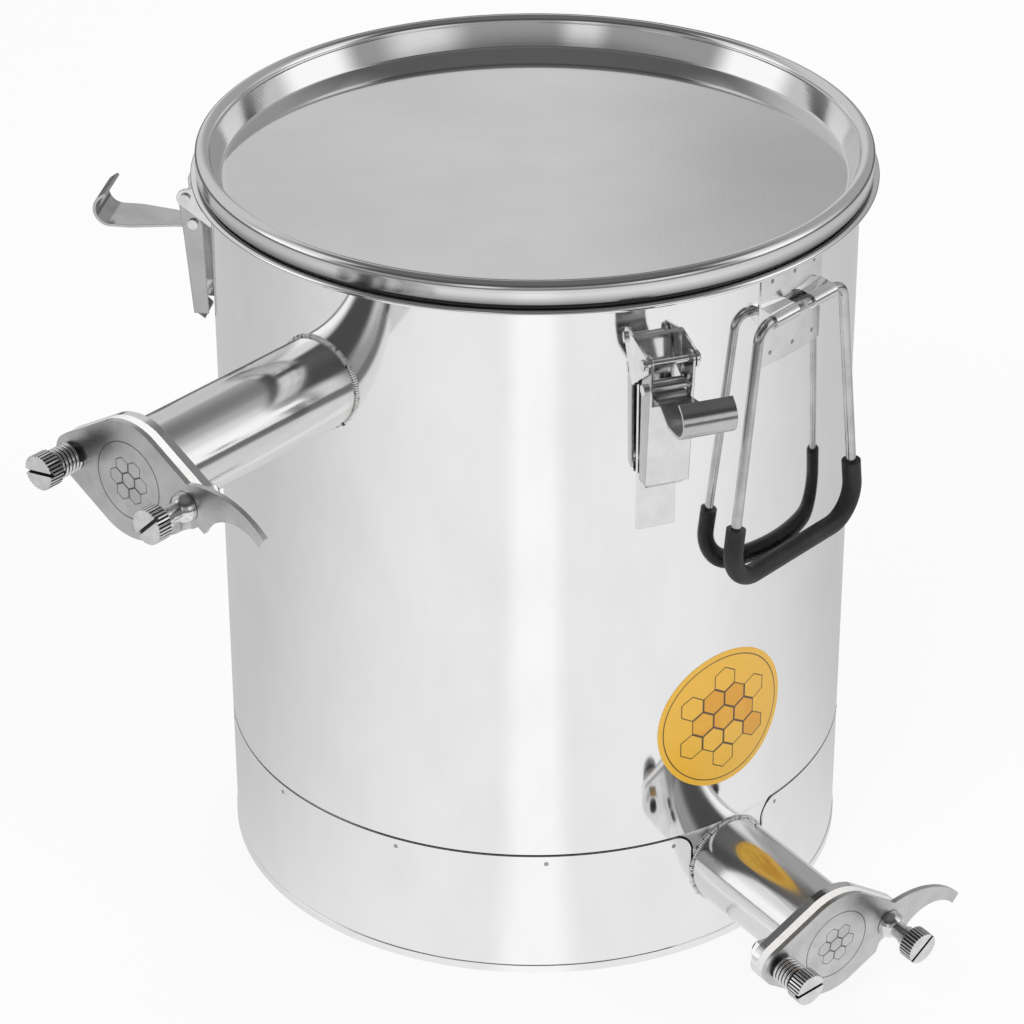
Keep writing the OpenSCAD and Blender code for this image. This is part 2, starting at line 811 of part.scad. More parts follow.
module handle_grip(az) {
    color(rubber_black) on_bail(az) union() {
        bar_run(-foot_x - rod_lap, foot_x + rod_lap, foot_z) grip_section();
        for (side = [0, 1]) mirror([side, 0, 0]) {
            leg_run(grip_leg) grip_section();
            low_bend() grip_section();
        }
    }
}

module gate_part(part, az, z, tilt, reach, roll, wall_r) {
    if (part == "spout_tube") spout_tube(az, z, tilt, reach, wall_r);
    if (part == "spout_weld") spout_weld(az, z, tilt);
    if (part == "gate_flange") gate_flange(az, z, tilt, reach, roll);
    if (part == "gate_seal") gate_seal(az, z, tilt, reach, roll);
    if (part == "gate_plate") gate_plate(az, z, tilt, reach, roll);
    if (part == "stud_nuts") stud_nuts(az, z, tilt, reach, roll);
    if (part == "pivot_stud") stud(-1, az, z, tilt, reach, roll, spring_nut_out);
    if (part == "pivot_spring") pivot_spring(az, z, tilt, reach, roll);
    if (part == "pivot_nut") pivot_nut(az, z, tilt, reach, roll);
    if (part == "clamp_stud") stud(1, az, z, tilt, reach, roll, clamp_nut_out);
    if (part == "clamp_bush") clamp_bush(az, z, tilt, reach, roll);
    if (part == "clamp_nut") clamp_nut(az, z, tilt, reach, roll);
}

GATE_PARTS = ["spout_tube", "spout_weld", "gate_flange", "gate_seal", "gate_plate", "stud_nuts",
    "pivot_stud", "pivot_spring", "pivot_nut", "clamp_stud", "clamp_bush", "clamp_nut"];
LATCHES = [["front", latch_az], ["rear", latch_az + 120], ["left", latch_az - 120]];
HANDLES = [["right", handle_az], ["left", handle_az + 180]];

tank_barrel();
tank_floor();
base_skirt();
skirt_spot_welds();
label();
lid_pan();
lid_gasket();
for (part = GATE_PARTS) {
    gate_part(part, upper_az, upper_z, upper_tilt, upper_reach, upper_roll, barrel_in_r);
    gate_part(part, lower_az, lower_z, lower_tilt, lower_reach, lower_roll, tail_in_r);
}
for (l = LATCHES) {
    latch_base(l[1]);
    latch_pin(l[1], latch_pivot, 2 * (ear_x + latch_t));
    latch_handle(l[1]);
    latch_pin(l[1], hook_pin, latch_w);
    latch_hook(l[1]);
}
for (h = HANDLES) {
    handle_bracket(h[1]);
    handle_bail(h[1]);
    handle_grip(h[1]);
}
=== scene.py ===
"""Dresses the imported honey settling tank: turned sheet, welds, springs, knurled nuts, label and finishes.

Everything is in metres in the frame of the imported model: the tank's axis is Z, its foot is at z = 0 and
its front is -Y. Angles round the tank run from the front towards the viewer's right.
"""
import math
import bmesh
import bpy
from mathutils import Matrix, Vector


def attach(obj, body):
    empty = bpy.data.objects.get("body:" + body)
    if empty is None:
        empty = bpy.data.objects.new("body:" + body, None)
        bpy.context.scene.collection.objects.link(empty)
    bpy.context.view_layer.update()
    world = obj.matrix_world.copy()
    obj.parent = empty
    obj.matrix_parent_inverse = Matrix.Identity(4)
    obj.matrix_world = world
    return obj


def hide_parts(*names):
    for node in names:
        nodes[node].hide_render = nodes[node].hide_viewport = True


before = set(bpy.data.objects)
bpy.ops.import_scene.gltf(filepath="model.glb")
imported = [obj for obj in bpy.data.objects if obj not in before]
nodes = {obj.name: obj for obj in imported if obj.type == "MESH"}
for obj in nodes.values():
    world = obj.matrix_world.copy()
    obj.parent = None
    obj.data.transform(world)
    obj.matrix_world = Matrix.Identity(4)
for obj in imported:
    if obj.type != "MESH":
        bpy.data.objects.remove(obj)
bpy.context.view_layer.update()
scene = bpy.context.scene
MM = 0.001

# Tank, in millimetres
BARREL_R = 190.0
SHEET = 1.0
SHEET_SEGMENTS = 576
RIM_H = 443.6
RIM_R = 200.6
RIM_ROLL = 1.8
RIM_NECK, RIM_MOUTH = 2.0, 1.6
SEAM_H = 84.8
SEAM_GAP = 1.6
# Heights over which the painted shade along the seam fades in, low down by the notch
SEAM_DARK_Z = (58.0, 66.0)
HEM_H = 5.6
HEM_OUT = 0.6
FLOOR_LOW = 30.4
FLOOR_SLOPE = 6.0
TAIL_BELOW = 15.2
SPOT_COUNT, SPOT_START, SPOT_Z = 13, 2.0, 78.2

# Notch in the skirt round the lower spout: half its width, the radius of its corners and where it fades,
# then how far the wall in it lies back from the skirt's face and how far it reaches below its edge
NOTCH_HALF, NOTCH_CORNER, NOTCH_LOW = 27.6, 12.0, 40.0
NOTCH_STEP, NOTCH_LAP = 0.1, 6.0

# Lid, and where its finishes meet: radii of the panel's edge, the crown and the painted shade under the
# bead, and that shade's height
LID_PANEL_R = 183.2
LID_PANEL_Z = 440.3
LID_SEGMENTS = 288
BEAD_R = 197.6
BEAD_CROWN = 4.4
BEAD_TOP = 459.0
BEAD_LOW = 444.4
BEAD_CURL = 2.4
PANEL_EDGE, CROWN_EDGE = (179.0, 184.0), (187.5, 190.0)
UNDER_EDGE, UNDER_Z = (192.0, 195.0), (444.8, 452.0)

# Label, then its comb's cell width, the square of the comb patch's radius and the radius of its ring
LABEL_AZ, LABEL_Z, LABEL_R = 35.5, 158.0, 45.0
LABEL_T, LABEL_LAP = 0.25, 0.02
LABEL_CELL, LABEL_PATCH, LABEL_RING = 15.0, (780.0, 800.0), 41.2

# Gates: angle round the tank, height, downward slope, distance to the plate's face and turn on the spout
GATES = {"upper": {"az": -39.5, "z": 374.0, "tilt": 0.0, "reach": 149.0, "roll": -1.0},
         "lower": {"az": 37.5, "z": 56.0, "tilt": 4.5, "reach": 98.0, "roll": -4.0}}
LOWER = GATES["lower"]
GATE_CELL, GATE_PATCH, GATE_RING = 9.0, (210.0, 225.0), 22.6
SPOUT_R = 27.0
SPOUT_HEAT = (1.0, 7.0)
HOLE_CLEAR, HOLE_NEAR, HOLE_BACK = 0.2, 8, 20
WELD_OUT, WELD_DROP, WELD_STEP = 0.5, 1.1, 1.4
STUD_X = 42.0
THREAD_PITCH = 1.25
KNOB_R = 10.0
KNOB_HEAD = 9.0
KNURL_FROM = (8.6, 9.0)
SPRING_NUT_OUT = 25.4
CLAMP_NUT_OUT = 29.0
SPRING_H = 15.0
SPRING_R = 7.6
SPRING_WIRE = 0.95
SPRING_CURLS = 5
SPRING_LIFT, SPRING_SLACK = 0.3, 0.06

# Latches and handles, by their angle round the tank
LATCHES = {"front": 20.7, "rear": 140.7, "left": -99.3}
LEVER_HALF = 13.0
LEVER_FOOT = 335.0
HANDLES = {"right": 49.0, "left": 229.0}
BRACKET_T = 1.2
BRACKET_SPOT_X = 19.0
BRACKET_SPOT_Z = (388.5, 432.5)

CREASE = math.radians(40)


# Places

def outward(az):
    return Vector((math.sin(math.radians(az)), -math.cos(math.radians(az)), 0))


def on_wall(az, z=0.0, out=0.0):
    """Frame on the barrel: x to the viewer's right, y up, z outwards, in metres."""
    e = outward(az)
    t = Vector((math.cos(math.radians(az)), math.sin(math.radians(az)), 0))
    m = Matrix((t, Vector((0, 0, 1)), e)).transposed().to_4x4()
    m.translation = e * (BARREL_R + out) * MM + Vector((0, 0, z * MM))
    return m


def on_spout(gate):
    """Frame on a spout: x right, y up and z outwards along it from the barrel."""
    at = GATES[gate]
    slope = Matrix.Rotation(math.radians(at["tilt"]), 4, "X")
    return on_wall(at["az"], at["z"]) @ slope @ Matrix.Rotation(math.radians(at["roll"]), 4, "Z")


# Shader values

class Val:
    """A number or a vector in a shader. Arithmetic on numbers adds Math nodes."""

    def __init__(self, shade, socket):
        self.shade, self.socket = shade, socket

    def op(self, operation, other=0.0, flip=False):
        a, b = (other, self) if flip else (self, other)
        return self.shade.add("ShaderNodeMath", {"operation": operation}, {0: a, 1: b})

    def __add__(self, o): return self.op("ADD", o)
    def __radd__(self, o): return self.op("ADD", o, True)
    def __sub__(self, o): return self.op("SUBTRACT", o)
    def __rsub__(self, o): return self.op("SUBTRACT", o, True)
    def __mul__(self, o): return self.op("MULTIPLY", o)
    def __rmul__(self, o): return self.op("MULTIPLY", o, True)
    def __truediv__(self, o): return self.op("DIVIDE", o)
    def __rtruediv__(self, o): return self.op("DIVIDE", o, True)
    def __pow__(self, o): return self.op("POWER", o)
    def __neg__(self): return self.op("MULTIPLY", -1.0)
    def abs(self): return self.op("ABSOLUTE")
    def sin(self): return self.op("SINE")
    def floor(self): return self.op("FLOOR")
    def max(self, o): return self.op("MAXIMUM", o)
    def min(self, o): return self.op("MINIMUM", o)
    def wrap(self, period): return self.op("FLOORED_MODULO", period)
    def atan2(self, o): return self.op("ARCTAN2", o)

    def step(self, low, high):
        """0 below low, 1 above high and smooth between."""
        return self.shade.add("ShaderNodeMapRange", {"interpolation_type": "SMOOTHSTEP"},
                              {"Value": self, "From Min": low, "From Max": high})


class Shade:
    """One material and its nodes."""

    def __init__(self, name, tree=None):
        if tree is None:
            self.material = bpy.data.materials.new(name)
            self.material.use_nodes = True
            tree = self.material.node_tree
        tree.nodes.clear()
        self.tree = tree

    def add(self, kind, settings=None, sockets=None, out=0):
        """Adds a node, sets it up and returns one of its outputs as a value."""
        node = self.tree.nodes.new(kind)
        for key, value in (settings or {}).items():
            setattr(node, key, value)
        for key, value in (sockets or {}).items():
            socket = node.inputs[key]
            if isinstance(value, Val):
                self.tree.links.new(value.socket, socket)
            else:
                socket.default_value = value
        return Val(self, node.outputs[out]) if len(node.outputs) else None

    def place(self):
        """Object coordinates, in metres."""
        return self.add("ShaderNodeTexCoord", out="Object")

    def rays(self):
        """Two values that are 1 on a camera ray and on a glossy ray."""
        path = self.tree.nodes.new("ShaderNodeLightPath")
        return [Val(self, path.outputs[ray]) for ray in ("Is Camera Ray", "Is Glossy Ray")]

    def split(self, vector):
        node = self.tree.nodes.new("ShaderNodeSeparateXYZ")
        self.tree.links.new(vector.socket, node.inputs[0])
        return [Val(self, s) for s in node.outputs]

    def join(self, x, y, z):
        return self.add("ShaderNodeCombineXYZ", None, {0: x, 1: y, 2: z})

    def local(self, matrix):
        """Place in a frame: across, up and out, in millimetres."""
        home = self.vector("SUBTRACT", self.place(), matrix.translation)
        axes = matrix.to_3x3().transposed()
        return [self.vector("DOT_PRODUCT", home, axis, "Value") / MM for axis in axes]

    def vector(self, operation, a, b, out=0):
        return self.add("ShaderNodeVectorMath", {"operation": operation}, {0: a, 1: b}, out)

    def round_tank(self):
        """Angle round the tank from the front, in radians, and height and radius, in millimetres."""
        x, y, z = self.split(self.place())
        radius = (x * x + y * y) ** 0.5
        return x.atan2(-y), z / MM, radius / MM

    def noise(self, vector, scale, detail=2.0, rough=0.5):
        return self.add("ShaderNodeTexNoise", None,
                        {"Vector": vector, "Scale": scale, "Detail": detail, "Roughness": rough})

    def mix(self, factor, a, b):
        """Mixes two colours."""
        return self.add("ShaderNodeMix", {"data_type": "RGBA"}, {"Factor": factor, 6: a, 7: b}, 2)

    def bump(self, height, strength, distance, normal=None):
        links = {"Height": height, "Strength": strength, "Distance": distance}
        if normal is not None:
            links["Normal"] = normal
        return self.add("ShaderNodeBump", None, links)

    def edge(self, radius):
        """Direction of a surface whose sharp edges are rounded to a radius in metres."""
        return self.add("ShaderNodeBevel", {"samples": 4}, {"Radius": radius})

    def finish(self, **sockets):
        named = {key.replace("_", " "): value for key, value in sockets.items()}
        surface = self.add("ShaderNodeBsdfPrincipled", None, named)
        self.add("ShaderNodeOutputMaterial", None, {"Surface": surface})
        return self.material


def grey(v, warm=0.0):
    return (v * (1 + warm), v, v * (1 - warm), 1.0)


# Finishes

def polished_sheet():
    """Mirror-polished rolled sheet with faint waves, wiping marks, grain and painted shade, near black,
    along the seam.

    The inside of the tank is left duller.
    """
    s = Shade("polished_sheet")
    angle, z, radius = s.round_tank()
    inside = 1.0 - radius.step(BARREL_R - 0.7 * SHEET, BARREL_R - 0.3 * SHEET)
    wave = s.noise(s.join(angle * 1.6, z * 0.004, 0.0), 1.4, 1.0)
    grain = s.noise(s.join(angle * 3.0, z * 2.2, 0.0), 1.0, 4.0, 0.7)
    wipe = s.noise(s.join(angle * 5.0, z * 0.012, 2.0), 1.0, 3.0, 0.6)
    sheet = s.mix(wipe.step(0.35, 0.75), grey(0.95), grey(0.91))
    beside = (angle - math.radians(LOWER["az"])).abs() * BARREL_R
    across = (NOTCH_HALF + NOTCH_CORNER - beside).max(0.0)
    above = (z - (SEAM_H - SEAM_GAP - NOTCH_CORNER)).max(0.0)
    past_edge = (across * across + above * above) ** 0.5 - NOTCH_CORNER
    # Painted shade: the seam's slit, round the notch's corners, is painted near black
    gap = past_edge.step(0.0, 0.2) * (1.0 - past_edge.step(SEAM_GAP - 0.2, SEAM_GAP))
    tone = s.mix(gap * z.step(*SEAM_DARK_Z), sheet, grey(0.03))
    rough = 0.035 + 0.04 * wipe + 0.02 * grain + 0.12 * inside
    relief = s.bump(grain, 0.02, 0.00008, s.bump(wave, 0.10, 0.0012))
    return s.finish(Base_Color=tone, Metallic=1.0 - 0.16 * inside, Roughness=rough, Normal=relief)


def lid_sheet():
    """Lid: a flat, slightly dulled panel, a bright wall and a spun bead with painted shade underneath."""
    s = Shade("lid_sheet")
    angle, z, radius = s.round_tank()
    x, y, _ = s.split(s.place())
    panel = 1.0 - radius.step(*PANEL_EDGE)
    rolled = s.noise(s.join(x * 900.0, y * 14.0, 0.0), 1.0, 3.0, 0.6)
    blotch = s.noise(s.place(), 9.0, 3.0, 0.55)
    spun = s.noise(s.join(angle * 2.0, radius * 1.8, z * 1.8), 1.0, 3.0, 0.65)
    crown = radius.step(*CROWN_EDGE)
    dulled = s.mix(blotch.step(0.3, 0.7), grey(0.80), grey(0.74))
    # Painted shade: the bead's underside is dark grey
    under = (1.0 - z.step(*UNDER_Z)) * radius.step(*UNDER_EDGE)
    spun_tone = s.mix(spun, grey(0.86), grey(0.76))
    tone = s.mix(panel, s.mix(under, spun_tone, grey(0.19)), dulled)
    rough = 0.03 + 0.07 * crown + 0.04 * spun + 0.02 * rolled
    height = rolled * panel + spun * (1.0 - panel)
    return s.finish(Base_Color=tone, Metallic=1.0, Roughness=rough, Normal=s.bump(height, 0.05, 0.0002))


def spout_satin(gate):
    """Drawn tube with grain along its length and a heat-dulled end at the weld."""
    s = Shade("spout_satin_" + gate)
    u, v, w = s.local(on_spout(gate))
    turn = u.atan2(v)
    drawn = s.noise(s.join(turn * 14.0, w * 0.03, 0.0), 1.0, 4.0, 0.7)
    rub = s.noise(s.join(u * 0.05, v * 0.05, w * 0.05), 1.0, 3.0, 0.6)
    heat = 1.0 - w.step(*SPOUT_HEAT)
    bare = s.mix(drawn, grey(0.84), grey(0.72))
    tone = s.mix(heat * rub.step(0.4, 0.8) * 0.6, bare, (0.58, 0.55, 0.51, 1.0))
    rough = 0.06 + 0.07 * drawn + 0.05 * rub
    return s.finish(Base_Color=tone, Metallic=1.0, Roughness=rough, Normal=s.bump(drawn, 0.08, 0.0002))


def stud_thread(gate):
    """Rolled thread: fine rings along the stud, painted dark grey as shade inside the spring and near black
    as shade at their roots.
    """
    s = Shade("stud_thread_" + gate)
    _, _, w = s.local(on_spout(gate))
    ridge = (w * (2 * math.pi / THREAD_PITCH)).sin() * 0.5 + 0.5
    rub = s.noise(s.place(), 300.0, 3.0, 0.6)
    # Painted shade: the stud is dark grey overall and near black in the thread's roots
    tone = s.mix(ridge.step(0.1, 0.7), grey(0.03), s.mix(rub, grey(0.34), grey(0.22)))
    relief = s.bump(ridge, 0.5, 0.0004)
    return s.finish(Base_Color=tone, Metallic=1.0, Roughness=0.16 + 0.14 * rub, Normal=relief)


def brushed_steel(name, light, dark, dull, rounding=0.0004, bends=None):
    """Cut and brushed steel that varies between two greys, with rounded edges and, where a mask is given,
    painted shade.
    """
    s = Shade(name)
    p = s.place()
    x, y, z = s.split(p)
    brushed = s.noise(s.join(x * 260.0, y * 260.0, z * 2200.0), 1.0, 3.0, 0.65)
    rub = s.noise(p, 60.0, 3.0, 0.6)
    tone = s.mix(rub.step(0.3, 0.75), grey(light), grey(dark))
    if bends:
        # Painted shade: dark grey where the mask is set
        tone = s.mix(bends(s), tone, grey(0.16))
    rough = dull + 0.06 * brushed + 0.06 * rub
    relief = s.bump(brushed, 0.10, 0.0001, s.edge(rounding))
    return s.finish(Base_Color=tone, Metallic=1.0, Roughness=rough, Normal=relief)


def satin_plate():
    """Flanges, stud nuts, latch bases, brackets."""
    return brushed_steel("satin_plate", 0.86, 0.77, 0.06)


def lever_plate(latch):
    """Latch lever: bright in front, with painted shade on its cheeks and darker painted shade in the fold
    at its foot.
    """

    def bends(s):
        # Painted shade: half strength on the cheeks, nearly full in the fold
        u, v, _ = s.local(on_wall(LATCHES[latch]))
        cheek = u.abs().step(LEVER_HALF - 0.35, LEVER_HALF - 0.1)
        fold = 1.0 - v.step(LEVER_FOOT - 0.4, LEVER_FOOT + 0.2)
        return (cheek * 0.45).max(fold * 0.9)

    return brushed_steel(latch + "_lever_plate", 0.84, 0.74, 0.07, 0.0010, bends)


def drawn_rod():
    """Bails: drawn rod, greyer than the sheet."""
    return brushed_steel("drawn_rod", 0.64, 0.50, 0.10)


def hook_satin():
    """Hooks: dull pressed strip."""
    return brushed_steel("hook_satin", 0.60, 0.50, 0.10)


def turned_steel(name, groove=None):
    """Bright turned steel with tool marks, and near-black painted shade where a mask for it is given."""
    s = Shade(name)
    p = s.place()
    marks = s.noise(p, 900.0, 2.0)
    rub = s.noise(p, 140.0, 3.0, 0.6)
    tone = s.mix(rub.step(0.3, 0.7), grey(0.84), grey(0.70))
    if groove:
        # Painted shade: near black where the mask is set
        tone = s.mix(groove(s), tone, grey(0.035))
    rough = 0.06 + 0.08 * rub + 0.04 * marks
    relief = s.bump(marks, 0.06, 0.0001, s.edge(0.0004))
    return s.finish(Base_Color=tone, Metallic=1.0, Roughness=rough, Normal=relief)


def bright_turned():
    """Bushes and pins."""
    return turned_steel("bright_turned")


def knurled(gate, stud_x, face_out):
    """Knurled nut on a stud, with painted shade in its knurl, its slot and behind its head."""
    face = GATES[gate]["reach"] + face_out

    def groove(s):
        u, v, w = s.local(on_spout(gate))
        r = ((u - stud_x) * (u - stud_x) + v * v) ** 0.5
        below_face = 1.0 - w.step(face - 0.5, face - 0.2)
        rim = r.step(*KNURL_FROM)
        knurl = rim * (1.0 - r.step(KNOB_R - 0.4, KNOB_R - 0.12))
        slot = (1.0 - rim) * w.step(face - KNOB_HEAD + 0.5, face - KNOB_HEAD + 1.0)
        return knurl.max(slot) * below_face

    return turned_steel(gate + ("_pivot_nut" if stud_x < 0 else "_clamp_nut"), groove)


def weld_metal():
    """Brushed weld: pale ripples with straw-coloured heat tint between them."""
    s = Shade("weld_metal")
    p = s.place()
    grit = s.noise(p, 1200.0, 3.0, 0.6)
    tint = s.noise(p, 160.0, 2.0)
    bare = s.mix(tint.step(0.45, 0.8), grey(0.88), (0.62, 0.60, 0.57, 1.0))
    tone = s.mix(s.noise(p, 420.0, 2.0).step(0.55, 0.68), bare, grey(0.10))
    rough = 0.14 + 0.12 * grit
    return s.finish(Base_Color=tone, Metallic=1.0, Roughness=rough, Normal=s.bump(grit, 0.2, 0.0002))


def spot_weld():
    """Dull grey spot where two sheets were welded by a pair of electrodes."""
    s = Shade("spot_weld")
    p = s.place()
    grit = s.noise(p, 900.0, 3.0, 0.6)
    tone = s.mix(grit.step(0.3, 0.7), grey(0.50), grey(0.34))
    rough = 0.30 + 0.15 * grit
    return s.finish(Base_Color=tone, Metallic=1.0, Roughness=rough, Normal=s.bump(grit, 0.2, 0.0001))


def spring_wire(gate):
    """Drawn wire, bright on the outside of the coil and painted near black inside it as shade."""
    s = Shade("spring_wire_" + gate)
    u, v, _ = s.local(on_spout(gate))
    r = ((u + STUD_X) * (u + STUD_X) + v * v) ** 0.5
    draw = s.noise(s.place(), 700.0, 3.0, 0.6)
    outside = r.step(SPRING_R - 0.2 * SPRING_WIRE, SPRING_R + 0.6 * SPRING_WIRE)
    # Painted shade: the inside of the coil is near black
    tone = s.mix(outside, grey(0.04), s.mix(draw, grey(0.84), grey(0.66)))
    return s.finish(Base_Color=tone, Metallic=1.0, Roughness=0.12 + 0.12 * draw)


def white_seal():
    """Food-grade white rubber with a soft sheen and faint handling marks."""
    s = Shade("white_seal")
    p = s.place()
    smear = s.noise(p, 45.0, 3.0, 0.6)
    pores = s.noise(p, 2600.0, 2.0)
    tone = s.mix(smear.step(0.4, 0.8), grey(0.90, 0.005), grey(0.82, 0.02))
    return s.finish(Base_Color=tone, Roughness=0.42 + 0.12 * smear, Normal=s.bump(pores, 0.08, 0.0001))


def rubber(name, dark, worn):
    """Matte rubber with a fine pore and dusty wear."""
    s = Shade(name)
    p = s.place()
    wear = s.noise(p, 70.0, 4.0, 0.6)
    pores = s.noise(p, 3200.0, 2.0)
    tone = s.mix(wear.step(0.45, 0.8), grey(dark), grey(worn))
    return s.finish(Base_Color=tone, Roughness=0.40 + 0.18 * wear, Normal=s.bump(pores, 0.18, 0.00012))


def black_rubber():
    """Pulled-on grip sleeves."""
    return rubber("black_rubber", 0.012, 0.030)


def gasket_rubber():
    """Lid gasket, greyer than the sleeves, dark as painted shade between the bead and the rim."""
    return rubber("gasket_rubber", 0.08, 0.12)


def comb(s, u, v, cell):
    """Honeycomb of a cell width: how far in from the cell's edge, from 0 to 1, and the cell's middle."""
    tall = cell * math.sqrt(3.0)
    best = []
    for shift in (0.0, 0.5):
        qu = (u + shift * cell).wrap(cell) - cell / 2
        qv = (v + shift * tall).wrap(tall) - tall / 2
        reach = (qu.abs() * 0.5 + qv.abs() * (math.sqrt(3.0) / 2)).max(qu.abs())
        best.append((reach, u - qu, v - qv))
    first = best[0][0] - best[1][0]
    nearer = 1.0 - first.step(-0.001, 0.001)
    rim = 1.0 - best[0][0].min(best[1][0]) / (cell / 2)
    mid_u = best[0][1] * nearer + best[1][1] * (1.0 - nearer)
    mid_v = best[0][2] * nearer + best[1][2] * (1.0 - nearer)
    return rim, mid_u, mid_v


def label_print():
    """Glossy film: amber ground, a thin ring and a patch of comb with some cells filled."""
    s = Shade("label_print")
    u, v, _ = s.local(on_wall(LABEL_AZ, LABEL_Z))
    r = (u * u + v * v) ** 0.5
    rim, mu, mv = comb(s, u, v, LABEL_CELL)
    patch = 1.0 - (mu * mu + mv * mv).step(*LABEL_PATCH)
    line = (1.0 - rim.step(0.07, 0.11)) * patch
    cell = s.join(mu.floor(), mv.floor(), 0.0)
    filled = s.add("ShaderNodeTexWhiteNoise", {"noise_dimensions": "2D"}, {"Vector": cell})
    honey = filled.step(0.55, 0.56) * patch * (1.0 - line)
    ring = 1.0 - (r - LABEL_RING).abs().step(0.28, 0.42)
    speck = s.noise(s.place(), 300.0, 2.0)
    ground = s.mix(speck, (0.90, 0.52, 0.055, 1.0), (0.84, 0.47, 0.045, 1.0))
    inked = s.mix(honey, ground, (0.78, 0.36, 0.02, 1.0))
    tone = s.mix(line.max(ring), inked, (0.10, 0.05, 0.015, 1.0))
    return s.finish(Base_Color=tone, Roughness=0.30 + 0.06 * speck, Coat_Weight=0.4, Coat_Roughness=0.12)


def gate_face(gate):
    """Brushed gate plate with a marked ring and a small patch of comb on its face."""
    reach = GATES[gate]["reach"]
    s = Shade("gate_face_" + gate)
    u, v, w = s.local(on_spout(gate))
    r = (u * u + v * v) ** 0.5
    rim, mu, mv = comb(s, u, v, GATE_CELL)
    patch = 1.0 - (mu * mu + mv * mv).step(*GATE_PATCH)
    line = (1.0 - rim.step(0.08, 0.14)) * patch
    ring = 1.0 - (r - GATE_RING).abs().step(0.25, 0.42)
    face = w.step(reach - 0.3, reach - 0.1)
    mark = line.max(ring) * face
    brushed = s.noise(s.join(u * 0.05, v * 2.4, w * 0.4), 1.0, 4.0, 0.7)
    rub = s.noise(s.place(), 70.0, 3.0, 0.6)
    ground = s.mix(rub.step(0.3, 0.75), grey(0.66), grey(0.56))
    tone = s.mix(mark * 0.85, ground, grey(0.10))
    rough = 0.20 + 0.12 * brushed + 0.06 * rub + 0.2 * mark
    relief = s.bump(brushed - mark, 0.15, 0.0002, s.edge(0.0005))
    return s.finish(Base_Color=tone, Metallic=1.0, Roughness=rough, Normal=relief)


FINISH = {f.__name__: f() for f in (polished_sheet, lid_sheet, satin_plate, drawn_rod, hook_satin,
                                    bright_turned, weld_metal, spot_weld, white_seal, black_rubber,
                                    gasket_rubber, label_print)}
SPRING_FINISH = {gate: spring_wire(gate) for gate in GATES}


def dress(material, *names):
    """Gives CAD nodes a finish."""
    for name in names:
        slots = nodes[name].data.materials
        slots.clear()
        slots.append(material)


dress(FINISH["polished_sheet"], "tank_barrel", "tank_floor", "base_skirt")
dress(FINISH["lid_sheet"], "lid_pan")
# Painted shade: the gasket is dark grey so the line under the lid's bead reads as shade
dress(FINISH["gasket_rubber"], "lid_gasket")
dress(FINISH["spot_weld"], "skirt_spot_welds")
dress(FINISH["label_print"], "label")
for gate in GATES:
    dress(spout_satin(gate), gate + "_spout_tube")
    dress(gate_face(gate), gate + "_gate_plate")
    dress(FINISH["white_seal"], gate + "_gate_seal")
    dress(FINISH["weld_metal"], gate + "_spout_weld")
    dress(FINISH["satin_plate"], gate + "_gate_flange", gate + "_stud_nuts")
    dress(stud_thread(gate), gate + "_pivot_stud", gate + "_clamp_stud")
    dress(SPRING_FINISH[gate], gate + "_pivot_spring")
    dress(FINISH["bright_turned"], gate + "_clamp_bush")
    dress(knurled(gate, -STUD_X, SPRING_NUT_OUT), gate + "_pivot_nut")
    dress(knurled(gate, STUD_X, CLAMP_NUT_OUT), gate + "_clamp_nut")
for latch in LATCHES:
    dress(FINISH["satin_plate"], latch + "_latch_base")
    dress(lever_plate(latch), latch + "_latch_handle")
    dress(FINISH["hook_satin"], latch + "_latch_hook")
    dress(FINISH["bright_turned"], *(latch + p for p in ("_latch_pivot_pin", "_latch_hook_pin")))
for side in HANDLES:
    dress(FINISH["satin_plate"], side + "_handle_bracket")
    dress(FINISH["drawn_rod"], side + "_handle_bail")
    dress(FINISH["black_rubber"], side + "_handle_grip")


# Pieces

def piece(name, mesh, material, body, slot, *stands_for):
    """Puts a finished mesh in the scene as a piece of a body."""
    mesh.materials.clear()
    mesh.materials.append(material)
    for face in mesh.polygons:
        face.use_smooth = True
    obj = bpy.data.objects.new(name, mesh)
    scene.collection.objects.link(obj)
    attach(obj, body)
    if stands_for:
        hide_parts(*stands_for)
    return obj


def arc(centre, radius, start, end, count):
    """Points on an arc, from start to end in degrees."""
    turn = [math.radians(start + (end - start) * i / count) for i in range(count + 1)]
    return [(centre[0] + radius * math.cos(a), centre[1] + radius * math.sin(a)) for a in turn]


def rows(low, high, count):
    """Heights that part a run into equal steps, without its ends."""
    return [low + (high - low) * i / count for i in range(1, count)]


def round_wall(mesh):
    """Gives the barrel's outside the true direction of its surface, also next to holes and notches."""
    normals = []
    for face in mesh.polygons:
        corners = [mesh.vertices[i].co for i in face.vertices]
        off = max(abs(math.hypot(c.x, c.y) - BARREL_R * MM) for c in corners)
        upright = abs(face.normal.z) < 0.3
        outside = upright and off < (NOTCH_STEP + 0.02) * MM
        normals += [Vector((c.x, c.y, 0)).normalized() if outside else Vector() for c in corners]
    mesh.normals_split_custom_set(normals)


